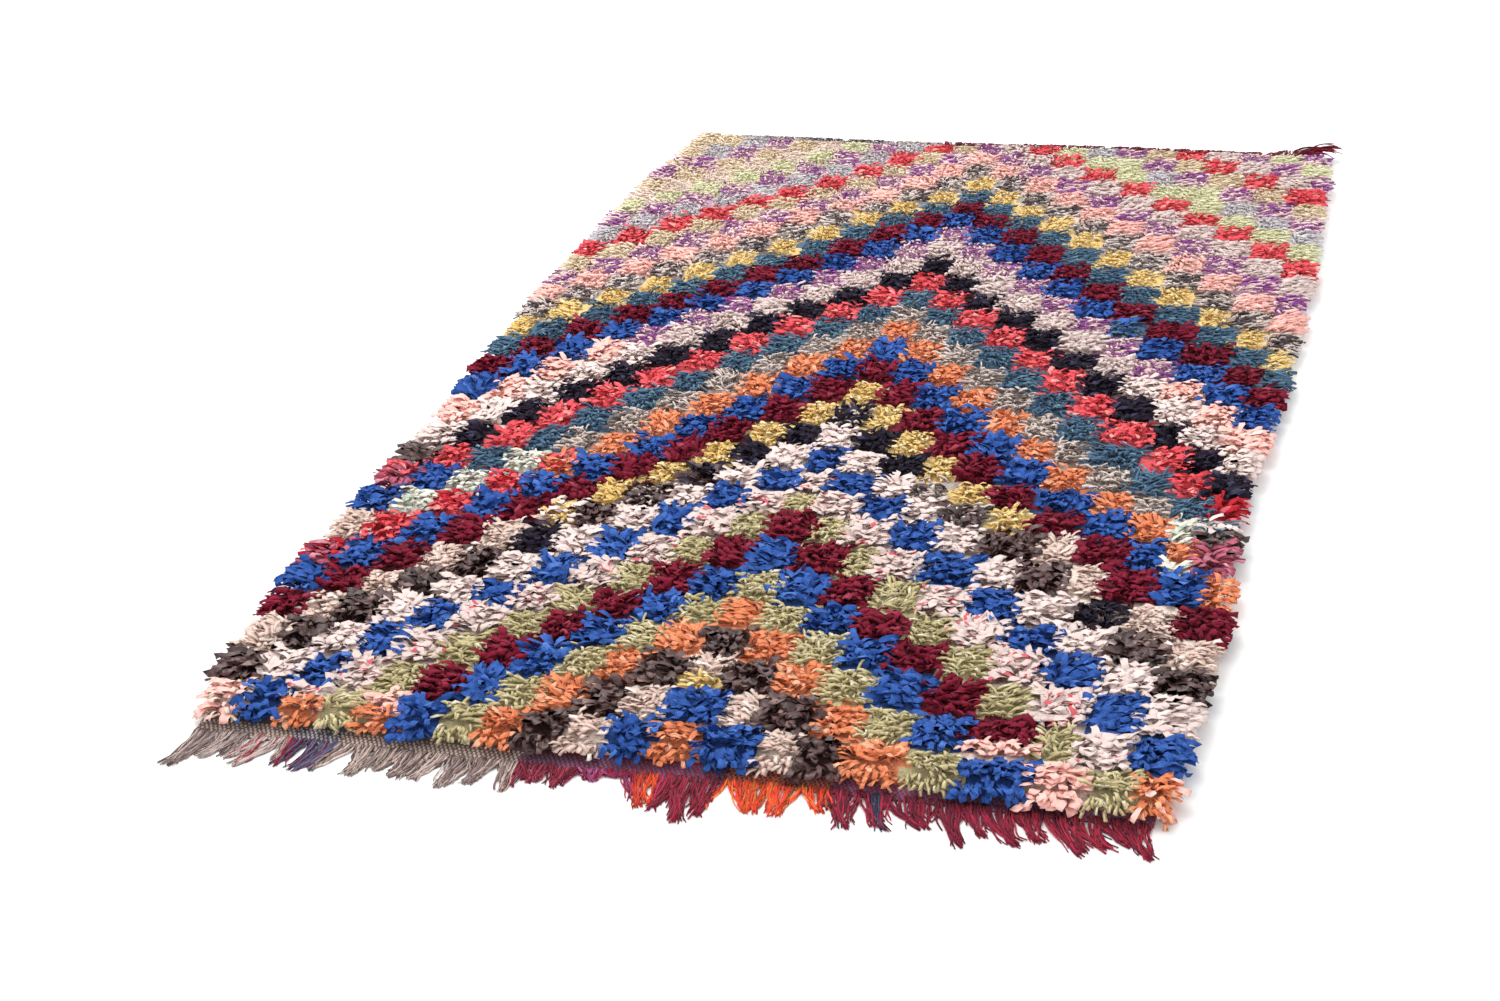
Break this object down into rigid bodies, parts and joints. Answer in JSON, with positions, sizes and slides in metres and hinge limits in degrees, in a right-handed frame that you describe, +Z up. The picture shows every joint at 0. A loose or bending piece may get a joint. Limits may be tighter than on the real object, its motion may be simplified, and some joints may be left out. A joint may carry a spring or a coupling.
{
  "type": "boucherouite rag rug",
  "caption": "Long rag-pile rug lying flat, with a lumpy shag in stepped chevron bands, a woven band and warp fringe at each end.",
  "frame": {"origin": "middle of the whole rug's box, on the floor under it", "axes": "+X across the rug to the right, +Y along it from the near end to the far end, +Z up out of the pile"},
  "size_m": [1.3968, 2.6196, 0.031],
  "materials": {
    "rag_pile": "knotted rag strips of cotton jersey, velvet and wool in many colours, matt",
    "warp_band": "flat-woven wool band with loose warp yarns, matt"
  },
  "bodies": {
    "root": {"rug_pile": "rag_pile", "near_fringe": "warp_band", "far_fringe": "warp_band"}
  },
  "joints": []
}
